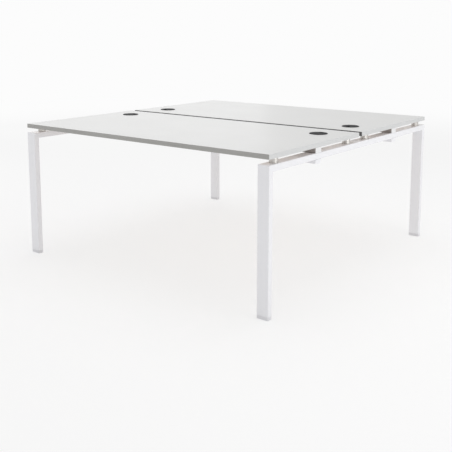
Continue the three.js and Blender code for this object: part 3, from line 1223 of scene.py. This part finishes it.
@dataclass(frozen=True)
class LegFrame(SubAssembly):
    """Portal frame of one end: two legs and a crossbar of one tube section, welded at mitres.

    Attributes:
        side: the end that it stands at
        corner: radius of the tube's corners
        weld: radius of the dressed outer corner and of the weld in the inner one
    """

    side: Side
    corner: float = 3 * MM
    weld: float = 1.6 * MM

    def tube(self) -> Skin:
        """Carries the tube's section up one leg, along the crossbar and down the other.

        A section point lies a across the frame and t inside the tube's middle line. On a leg it
        stands at reach - t from the middle; round a corner by angle f it moves in by
        weld * (1 - cos f) and lies weld * (1 - sin f) below the crossbar's line at t.

        Returns:
            The frame's skin
        """
        bar, leg = Box.of(f"{self.tag}_crossbar"), Box.of(f"{self.tag}_rear_leg")
        section = rounded_path(rectangle(*leg.size[:2]), self.corner)
        across, inward = section.points.T
        turn = np.linspace(0, QUARTER_TURN, RIM_STEPS + 1)[:, None]
        reach = leg.middle[1] - inward - self.weld * (1 - np.cos(turn))
        height = bar.middle[2] - inward - self.weld * (1 - np.sin(turn))
        foot_reach = (leg.middle[1] - inward)[None]
        foot_height = np.full_like(foot_reach, leg.low[2])
        y = np.concatenate([-foot_reach, -reach, reach[::-1], foot_reach])
        z = np.concatenate([foot_height, height, height[::-1], foot_height])
        x = np.broadcast_to(bar.middle[0] + across, y.shape)
        edge = np.broadcast_to(section.edge, y.shape)
        return Rings(np.stack([x, y, z], axis=-1), edge).skin()

    def pieces(self) -> Iterator[Piece]:
        """The welded frame as one piece."""
        nodes = tuple(f"{self.tag}_{part}" for part in ("crossbar", "front_leg", "rear_leg"))
        yield Piece(f"leg_frame_{self.tag}", self.tube(), FRAME_PAINT, nodes)


@dataclass(frozen=True)
class SupportBeam(SubAssembly):
    """Beam under one top: a tube across both crossbars with a cap in each end.

    Attributes:
        row: the top that it carries
        corner: radius of the tube's corners
        flange: thickness of a cap's flange
        plug: length of a cap's plug
        plug_inset: how far the plug lies inside the tube's outside
        pillow: radius of the cap's front arris
    """

    row: Row
    corner: float = 3 * MM
    flange: float = 3 * MM
    plug: float = 16 * MM
    plug_inset: float = 2.3 * MM
    pillow: float = 1.4 * MM

    def section(self) -> tuple[Path, Box]:
        """The tube's outline in Y and Z, with the tube's box."""
        box = self.box("beam")
        return rounded_path(rectangle(*box.size[1:]), self.corner), box

    def tube(self) -> Skin:
        """Carries the tube's outline straight along X.

        Returns:
            The tube's skin
        """
        outline, box = self.section()
        run = rounded_path([(0, box.low[0]), (0, box.high[0])], 0, closed=False)
        return carried(run, outline).skin().placed(box.middle * (0, 1, 1), Facing.RIGHT)

    def cap(self, side: Side) -> Skin:
        """Carries the cap's section, plug and pillowed flange, round the tube's outline.

        Args:
            side: the end of the beam that it closes

        Returns:
            The cap's skin
        """
        outline, box = self.section()
        corners = [
            (-self.plug_inset, -self.plug),
            (-self.plug_inset, 0),
            (0, 0),
            (0, self.flange),
            (-2 * self.pillow, self.flange),
        ]
        profile = rounded_path(corners, [0, 0, 0, self.pillow, 0], closed=False, steps=RIM_STEPS)
        centre = box.middle + box.size * (side.value / 2, 0, 0)
        return carried(profile, outline).skin().placed(centre, Facing[side.name])

    def pieces(self) -> Iterator[Piece]:
        """Makes the tube and its two caps.

        Yields:
            Each piece
        """
        yield self.piece("support_beam", self.tube(), SHADED_BEAM_STEEL, "beam")
        for side in Side:
            tag = f"{self.tag}_{side.name.lower()}"
            yield Piece(f"beam_cap_{tag}", self.cap(side), WHITE_PLASTIC, (f"beam_end_cap_{tag}",))


@dataclass(frozen=True)
class Clamp(SubAssembly):
    """Block under a crossbar with the bolt that draws block, crossbar and beam up to the top.

    Attributes:
        row: the top that it serves
        side: the frame that it sits under
        fillet: radius of the block's lower long edges
        arris: radius of its other edges
        sink: depth of the bolt's counterbore
        sink_radius: radius of the counterbore
        bolt: the bolt, its head in the counterbore
    """

    row: Row
    side: Side
    fillet: float = 6 * MM
    arris: float = 0.8 * MM
    sink: float = 6 * MM
    sink_radius: float = 7.1 * MM
    bolt: SocketScrew = SocketScrew(4 * MM, pitch=1.25 * MM, threaded=0.4, head_height=5 * MM)

    def block(self) -> Skin:
        """Stacks the block from the counterbore's floor, over its mouth and the edges, to its top.

        Along the lower edges the half depth is short by fillet * (1 - sin f) at height
        fillet * (1 - cos f).

        Returns:
            The block's skin
        """
        box = self.box("clamp_block")
        inset, rise = quarter_round(self.fillet)
        inset, rise = np.append(inset, 0.0), np.append(rise, box.size[2])
        ease = inset * (self.arris / self.fillet)
        sides = tiers(box.size[:2] / 2, np.column_stack([ease, inset]), self.arris, rise)
        lip = self.arris / 2
        hole, mouth = inner_circle(self.sink_radius), inner_circle(self.sink_radius + lip)
        rings = stacked(level_rings((hole, self.sink), (hole, lip), (mouth, 0)), box_rings(sides))
        return rings.skin().placed(box.base)

    def pieces(self) -> Iterator[Piece]:
        """The block and its bolt."""
        yield self.piece("beam_clamp", self.block(), PAINT, "clamp_block")
        yield self.piece("beam_bolt", self.bolt.skin(self.box("clamp_bolt")), ZINC, "clamp_bolt")


@dataclass(frozen=True)
class Standoff(SubAssembly):
    """Round spacer between crossbar and top with the long screw through it.

    Attributes:
        row: the top that it carries
        side: the frame that it stands on
        spot: its place on the crossbar
        bore: radius of its bore
        rim: radius of its rims
        screw: the long screw, its head under the crossbar
    """

    row: Row
    side: Side
    spot: Spot
    bore: float = 3.3 * MM
    rim: float = 1 * MM
    screw: SocketScrew = SocketScrew(3 * MM, pitch=1 * MM, threaded=0.35, head_height=3.3 * MM)

    def bush(self) -> Skin:
        """Turns the spacer's section, bored and with rounded rims, about its axis.

        Returns:
            The spacer's skin
        """
        box = self.box("spacer")
        radius, low, high = box.size[0] / 2, box.low[2], box.high[2]
        corners = [(self.bore, low), (radius, low), (radius, high), (self.bore, high)]
        section = rounded_path(corners, [0, self.rim, self.rim, 0], steps=RIM_STEPS)
        return carried(section, spindle()).skin(looped=True).placed(box.axis)

    def pieces(self) -> Iterator[Piece]:
        """Makes the spacer and its screw.

        Yields:
            Each piece
        """
        screw = self.screw.skin(self.box("spacer_screw"))
        yield self.piece("standoff", self.bush(), SPACER_METAL, "spacer")
        yield self.piece("standoff_screw", screw, ZINC, "spacer_screw")


@dataclass(frozen=True)
class LevellingFoot(SubAssembly):
    """Foot in the end of a leg: ribbed insert, threaded stem with a hexagon collar, and pad.

    Attributes:
        side: the frame that it stands under
        row: the leg of that frame
        corner: radius of the leg tube's corners
        inset_corner: radius of the corners inside the tube
        flange: thickness of the insert's flange
        fit: how far the ribs lie inside the tube's outside
        rib: how far the ribs stand out of the core
        rib_height: height of a rib
        rib_tops: upper sides of the ribs, as shares of the core's height
        bore: radius of the insert's threaded bore
        sole: radius of the pad's lower rim and of its corners
        arris: radius of the small rims and width of the chamfers
        recess: radius of the pad's recess
        recess_floor: height of the recess's floor
        journal: radius of the stem's journal
        journal_height: height of the journal
        collar: the collar's size across flats
        collar_height: height of the collar
        shank: radius of the stem's thread
        pitch: rise of one turn of the thread
    """

    side: Side
    row: Row
    corner: float = 3 * MM
    inset_corner: float = 1 * MM
    flange: float = 3 * MM
    fit: float = 2.3 * MM
    rib: float = 3 * MM
    rib_height: float = 2 * MM
    rib_tops: tuple[float, ...] = (0.5, 1.0)
    bore: float = 5.15 * MM
    sole: float = 3 * MM
    arris: float = 0.6 * MM
    recess: float = 10.5 * MM
    recess_floor: float = 5.7 * MM
    journal: float = 8 * MM
    journal_height: float = 3 * MM
    collar: float = 17 * MM
    collar_height: float = 5 * MM
    shank: float = 5 * MM
    pitch: float = 1.5 * MM

    def insert(self) -> Skin:
        """Stacks flange, core and ribs as rounded rectangles round a through bore.

        Each rib takes four rectangles: two for the core below it and two for its own sides.

        Returns:
            The insert's skin
        """
        box = self.box("foot_insert")
        half, top = box.size[:2] / 2, box.size[2]
        inset, rise = quarter_round(self.arris)
        inset, rise = np.append(inset, 0.0), np.append(rise, self.flange)
        flange = tiers(half, inset[:, None], self.corner, rise)
        rib_top = self.flange + (top - self.flange) * np.array(self.rib_tops)
        levels = np.repeat(np.column_stack([rib_top - self.rib_height, rib_top]).ravel(), 2)
        heights = np.append(self.flange, levels[:-1])
        ribbed = np.tile([0.0, 0.0, 1.0, 1.0], len(rib_top))[:, None]
        core = tiers(half - self.fit, self.rib * (1 - ribbed), self.inset_corner, heights)
        bore = inner_circle(self.bore)
        outside = box_rings(np.concatenate([flange, core]))
        rings = stacked(level_rings((bore, 0)), outside, level_rings((bore, top)))
        return rings.skin(looped=True).placed(box.base)

    def stem(self) -> Skin:
        """Turns journal, hexagon collar and threaded rod about the stem's axis.

        Returns:
            The stem's skin
        """
        box = self.box("foot_stem")
        chamfer, seat, end = self.arris, self.journal_height, box.size[2]
        collar_top = seat + self.collar_height
        journal, key = circle(self.journal), hexagon(self.collar)
        eased = key * (1 - 2 * chamfer / self.collar)
        lower = level_rings(
            (circle(self.journal - chamfer), 0),
            (journal, chamfer),
            (journal, seat),
            (eased, seat),
            (key, seat + chamfer),
            (key, collar_top - chamfer),
            (eased, collar_top),
            (circle(self.shank), collar_top),
        )
        rod = thread(self.shank, self.pitch, collar_top + chamfer, end - 2 * chamfer)
        tip = level_rings((circle(self.shank - 2 * chamfer), end))
        return stacked(lower, rod, tip).skin().placed(box.base)

    def pad(self) -> Skin:
        """Stacks the pad from its sole, round lower rim and upper arris, into the stem's recess.

        Returns:
            The pad's skin
        """
        box = self.box("foot_pad")
        half, top = box.size[:2] / 2, box.size[2]
        inset, rise = quarter_round(self.sole)
        lower = tiers(half, inset[:, None], self.sole, rise)
        drop, ease = quarter_round(self.arris)
        upper = tiers(half, ease[:, None], self.sole, top - drop)
        mouth, recess = inner_circle(self.recess + self.arris), inner_circle(self.recess)
        rings = stacked(
            box_rings(np.concatenate([lower, upper])),
            level_rings((mouth, top), (recess, top - self.arris), (recess, self.recess_floor)),
        )
        return rings.skin().placed(box.base)

    def pieces(self) -> Iterator[Piece]:
        """Makes the insert on the desk, and the stem and the pad on their own bodies.

        Yields:
            Each piece
        """
        yield self.piece("tube_insert", self.insert(), FOOT_PLASTIC, "foot_insert")
        yield self.piece("levelling_stem", self.stem(), ZINC, "foot_stem", "stem")
        yield self.piece("levelling_pad", self.pad(), FOOT_PLASTIC, "foot_pad", "pad")


@dataclass(frozen=True)
class Grommet(SubAssembly):
    """Cable grommet: flanged sleeve in the top and a notched lid that turns in it.

    Attributes:
        row: the top that it sits in
        side: the end of that top
        flange_height: height of the flange over the top
        flange_round: radius of the flange's rim
        sleeve_radius: outer radius of the sleeve
        seat_radius: radius of the lid's seat
        seat_round: radius of the arris over the seat
        seat_gap: gap under the lid
        bore_radius: radius of the open bore
        bore_round: radius of the arris over the bore
        foot_round: radius of the lower rims of sleeve and skirt
        lid_thickness: thickness of the lid
        lid_round: radius of the lid's upper arris
        lid_under: radius of its lower arris
        lid_rim: width of its rounded rim, in upper arrises
        skirt_radius: outer radius of the lid's skirt
        skirt_wall: thickness of the skirt
        skirt_clear: gap between skirt and notch
        notch_width: width of the cable notch
        notch_depth: depth of the notch from the lid's rim
        mouth_round: radius of the corners at the notch's mouth
    """

    row: Row
    side: Side
    flange_height: float = 2.5 * MM
    flange_round: float = 2 * MM
    sleeve_radius: float = 39.7 * MM
    seat_radius: float = 37.7 * MM
    seat_round: float = 0.6 * MM
    seat_gap: float = 0.3 * MM
    bore_radius: float = 35.2 * MM
    bore_round: float = 0.4 * MM
    foot_round: float = 0.5 * MM
    lid_thickness: float = 2.5 * MM
    lid_round: float = 0.9 * MM
    lid_under: float = 0.3 * MM
    lid_rim: float = 1.8
    skirt_radius: float = 34.8 * MM
    skirt_wall: float = 1.6 * MM
    skirt_clear: float = 0.4 * MM
    notch_width: float = 22 * MM
    notch_depth: float = 20 * MM
    mouth_round: float = 2 * MM

    def sleeve(self) -> Skin:
        """Turns the sleeve's section, flange, seat and bore, about the grommet's axis.

        Returns:
            The sleeve's skin
        """
        box = self.box("grommet_sleeve")
        rim, low, high = box.size[0] / 2, box.low[2], box.high[2]
        surface = high - self.flange_height
        ledge = surface - self.seat_gap
        corners = [
            (self.bore_radius, low),
            (self.sleeve_radius, low),
            (self.sleeve_radius, surface),
            (rim, surface),
            (rim, high),
            (self.seat_radius, high),
            (self.seat_radius, ledge),
            (self.bore_radius, ledge),
        ]
        above = [self.flange_round, self.seat_round, 0, self.bore_round]
        section = rounded_path(corners, [0, self.foot_round, 0, 0, *above], steps=RIM_STEPS)
        return carried(section, spindle(GROMMET_COUNT)).skin(looped=True).placed(box.axis)

    def lid_outline(self, radius: float) -> Path:
        """Outlines a disc with a round-ended notch along +X.

        Four arcs follow one another: the rim, one corner of the notch's mouth, the notch's hollow
        end and the other corner. A corner's centre lies one corner radius inside the rim and beside
        the notch.

        Args:
            radius: the disc's radius

        Returns:
            The closed outline
        """
        half, small = self.notch_width / 2, self.mouth_round
        mouth_y = half + small
        mouth_x = math.sqrt((radius - small) ** 2 - mouth_y**2)
        open_angle = math.atan2(mouth_y, mouth_x)
        end_x = radius - self.notch_depth + half
        rim = np.linspace(open_angle, FULL_TURN - open_angle, GROMMET_COUNT)[1:-1]
        lower = np.linspace(-open_angle, QUARTER_TURN, RIM_STEPS + 1)
        hollow = np.linspace(-QUARTER_TURN, -3 * QUARTER_TURN, 2 * CORNER_STEPS + 1)
        upper = np.linspace(-QUARTER_TURN, open_angle, RIM_STEPS + 1)
        arcs = [
            ((0, 0), radius, rim, 1),
            ((mouth_x, -mouth_y), small, lower, 1),
            ((end_x, 0), half, hollow, -1),
            ((mouth_x, mouth_y), small, upper, 1),
        ]
        points = np.concatenate(
            [np.array(centre) + size * directions(turn) for centre, size, turn, _ in arcs]
        )
        normals = np.concatenate([sign * directions(turn) for _, _, turn, sign in arcs])
        return Path(points, normals, np.zeros(len(points)))

    def skirt(self, low: float, high: float) -> Skin:
        """Carries the skirt's section round the lid's axis from one side of the notch to the other.

        Args:
            low: height of the skirt's lower rim
            high: height of the lid's underside

        Returns:
            The skirt's skin
        """
        inner, outer = self.skirt_radius - self.skirt_wall, self.skirt_radius
        corners = [(inner, low), (outer, low), (outer, high), (inner, high)]
        section = rounded_path(corners, [self.foot_round, self.foot_round, 0, 0], steps=RIM_STEPS)
        clear = math.asin((self.notch_width / 2 + self.skirt_clear) / inner)
        turn = np.linspace(FULL_TURN - clear, clear, GROMMET_COUNT)
        plane = section.points[:, :1] * directions(turn)[:, None]
        edge = np.broadcast_to(section.edge, plane.shape[:2])
        return Rings(raised(plane, section.points[:, 1]), edge).skin()

    def lid(self) -> Skin:
        """Carries the lid's rounded edge round the notched outline and hangs the skirt under it.

        Returns:
            The lid's skin, its notch towards the gap between the tops
        """
        box, sleeve = self.box("grommet_lid"), self.box("grommet_sleeve")
        high, shrink = box.high[2], self.lid_round
        floor = high - self.lid_thickness
        corners = [(-shrink, floor), (0, floor), (0, high), (-self.lid_rim * shrink, high)]
        radii = [0, self.lid_under, shrink, 0]
        profile = rounded_path(corners, radii, closed=False, steps=RIM_STEPS)
        disc = carried(profile, self.lid_outline(box.size[0] / 2)).skin()
        facing = Facing.TO_REAR if self.row is Row.FRONT else Facing.TO_FRONT
        return disc.joined(self.skirt(box.low[2], floor)).placed(sleeve.axis, facing)

    def pieces(self) -> Iterator[Piece]:
        """The sleeve on the desk and the lid on its own body."""
        yield self.piece("cable_sleeve", self.sleeve(), BLACK_PLASTIC, "grommet_sleeve")
        yield self.piece("cable_lid", self.lid(), BLACK_PLASTIC, "grommet_lid", "lid")


@dataclass(frozen=True)
class Lamp:
    """Soft square lamp that the camera doesn't see.

    Attributes:
        name: its name
        place: where it hangs
        aim: the point that it faces
        size: length of its sides
        power: watts
        mirrored: whether glossy surfaces reflect it
    """

    name: str
    place: Place
    aim: Place
    size: float
    power: float
    mirrored: bool = False

    def hang(self) -> None:
        """Makes the lamp and turns it to its aim."""
        light = bpy.data.lights.new(self.name, "AREA")
        light.size, light.energy = self.size, self.power
        lamp = linked(self.name, light)
        lamp.visible_camera, lamp.visible_glossy = False, self.mirrored
        lamp.location = self.place
        lamp.rotation_euler = aimed(Vector(self.aim) - Vector(self.place))


@dataclass(frozen=True)
class Studio:
    """Plain pale floor, white surround, soft lamps and the camera.

    Attributes:
        eye: the camera's place
        heading: its turn from the rear, positive to the right, radians
        dip: its tilt below the horizon, radians
        lens: focal length in millimetres
        sensor: width of the sensor in millimetres
        rise: vertical lens shift, in frame widths
        sight: how far the camera sees
        floor_radius: radius of the floor
        floor_tone: the floor's own tone
        floor_fade: distances over which the floor turns from near white to far white
        near_white: the floor's light to the camera around the desk
        far_white: that of the distant floor and the surround
        dim_white: that of the surround's right side, above the horizon
        bright_end: how far to the left the surround turns from dim to far white
        dim_above: how far up it turns dim
        shadow_share: share of true light and shade in what the camera sees of the floor
        ambient: light from all round
        lamps: the soft lamps
    """

    eye: Place = (2.44429, -3.24323, 1.24282)
    heading: float = -0.656376
    dip: float = 0.148516
    lens: float = 57.3259
    sensor: float = 36.0
    rise: float = -0.2
    sight: float = 200.0
    floor_radius: float = 40.0
    floor_tone: Colour = tone(250, 250, 250)
    floor_fade: Span = (2.0, 9.0)
    near_white: Colour = WHITE
    far_white: Colour = tone(252, 252, 252)
    dim_white: Colour = tone(224, 224, 224)
    bright_end: Span = (0.3, 0.68)
    dim_above: Span = (0.05, 0.1)
    shadow_share: float = 0.42
    ambient: float = 0.725
    lamps: tuple[Lamp, ...] = (
        Lamp("right_softbox", (4.3, -0.3, 2.1), (0.0, 0.0, 0.5), 2.0, 23.0),
        Lamp("right_low_softbox", (4.4, -0.6, 0.32), (0.0, 0.0, 0.5), 0.9, 11.0, True),
        Lamp("left_softbox", (-1.6, -5.0, 1.1), (0.0, 0.0, 0.5), 2.0, 5.0),
        Lamp("left_low_softbox", (-4.2, -1.2, 0.5), (0.0, 0.4, 0.4), 1.2, 16.0),
        Lamp("ceiling_softbox", (0.0, 0.4, 4.2), (0.0, 0.0, 0.0), 3.5, 30.0),
        Lamp("rear_softbox", (-3.9, 3.2, 2.0), (0.0, 0.0, 0.7), 3.4, 8.5, True),
    )

    def seen_directly(self, net: Wiring) -> Socket:
        """Tells the rays that see the white, from camera, gloss and transmission, from the rest.

        Args:
            net: the wiring of the floor or the surround

        Returns:
            1 for those rays and 0 for the rest
        """
        rays = net.add("ShaderNodeLightPath").outputs
        seen = net.math("MAXIMUM", rays["Is Camera Ray"], rays["Is Glossy Ray"])
        return net.math("MAXIMUM", seen, rays["Is Transmission Ray"])

    def lay_floor(self) -> None:
        """Lays a round floor that shows the desk's soft shadow and is clear from below."""
        mesh = bpy.data.meshes.new("studio_floor")
        corners = np.column_stack([circle(self.floor_radius), np.zeros(ROUND_COUNT)])
        mesh.from_pydata(corners.tolist(), [], [list(range(ROUND_COUNT))])
        material, net = node_material("pale_floor")
        mesh.materials.append(material)
        apart = net.add("ShaderNodeVectorMath", {0: net.place()}, operation="LENGTH")
        far = net.span(apart.outputs["Value"], *self.floor_fade)
        shown = net.blend(far, self.near_white, self.far_white)
        white = net.get("ShaderNodeEmission", {"Color": shown})
        matt = net.get("ShaderNodeBsdfDiffuse", {"Color": self.floor_tone})
        share = net.span(far, 0.0, 1.0, 1.0 - self.shadow_share, 1.0)
        glow = net.math("MULTIPLY", self.seen_directly(net), share)
        below = net.add("ShaderNodeNewGeometry").outputs["Backfacing"]
        clear = net.get("ShaderNodeBsdfTransparent")
        surface = net.mixed(below, net.mixed(glow, matt, white), clear)
        net.add("ShaderNodeOutputMaterial", {"Surface": surface})
        floor = linked("studio_floor", mesh)

    def light(self) -> None:
        """Sets the white surround and hangs the lamps."""
        world = bpy.data.worlds.new("white_surround")
        bpy.context.scene.world = world
        world.use_nodes = True
        net = Wiring(world.node_tree)
        side = net.parts(net.add("ShaderNodeTexCoord").outputs["Generated"])
        bright = net.span(net.math("MULTIPLY", side["X"], -1.0), *self.bright_end)
        above = net.span(side["Z"], *self.dim_above)
        shaded = net.math("MULTIPLY", above, net.math("SUBTRACT", 1.0, bright))
        shown = net.blend(shaded, self.far_white, self.dim_white)
        white = net.get("ShaderNodeBackground", {"Color": shown})
        soft = net.get("ShaderNodeBackground", {"Color": WHITE, "Strength": self.ambient})
        surround = net.mixed(self.seen_directly(net), soft, white)
        net.add("ShaderNodeOutputWorld", {"Surface": surround})
        for lamp in self.lamps:
            lamp.hang()

    def stand_camera(self) -> None:
        """Stands the camera at the picture's viewpoint, level, with a shifted lens."""
        data = bpy.data.cameras.new("viewpoint")
        data.sensor_width, data.lens, data.shift_y = self.sensor, self.lens, self.rise
        data.clip_end = self.sight
        camera = linked("viewpoint", data)
        level = math.cos(self.dip)
        right, rear = math.sin(self.heading) * level, math.cos(self.heading) * level
        camera.location = self.eye
        camera.rotation_euler = aimed(Vector((right, rear, -math.sin(self.dip))))
        bpy.context.scene.camera = camera

    def set_up(self) -> None:
        """Makes the floor, the light and the camera."""
        bpy.context.scene.view_settings.view_transform = "Standard"
        self.stand_camera()
        self.lay_floor()
        self.light()


def sub_assemblies() -> Iterator[SubAssembly]:
    """Goes through the desk from the tops down to the feet.

    Yields:
        Each sub-assembly
    """
    for row in Row:
        yield Worktop(row)
        yield SupportBeam(row)
        for side in Side:
            yield Grommet(row, side)
            yield Clamp(row, side)
            for spot in Spot:
                yield Standoff(row, side, spot)
    for side in Side:
        yield LegFrame(side)
        for row in Row:
            yield LevellingFoot(side, row)


def main() -> None:
    """Sets up the studio and builds every sub-assembly."""
    logging.basicConfig(level=logging.INFO, format="%(message)s")
    Studio().set_up()
    pieces = [piece.issue() for part in sub_assemblies() for piece in part.pieces()]
    LOG.info("%d pieces", len(pieces))


if __name__ == "__main__":
    main()
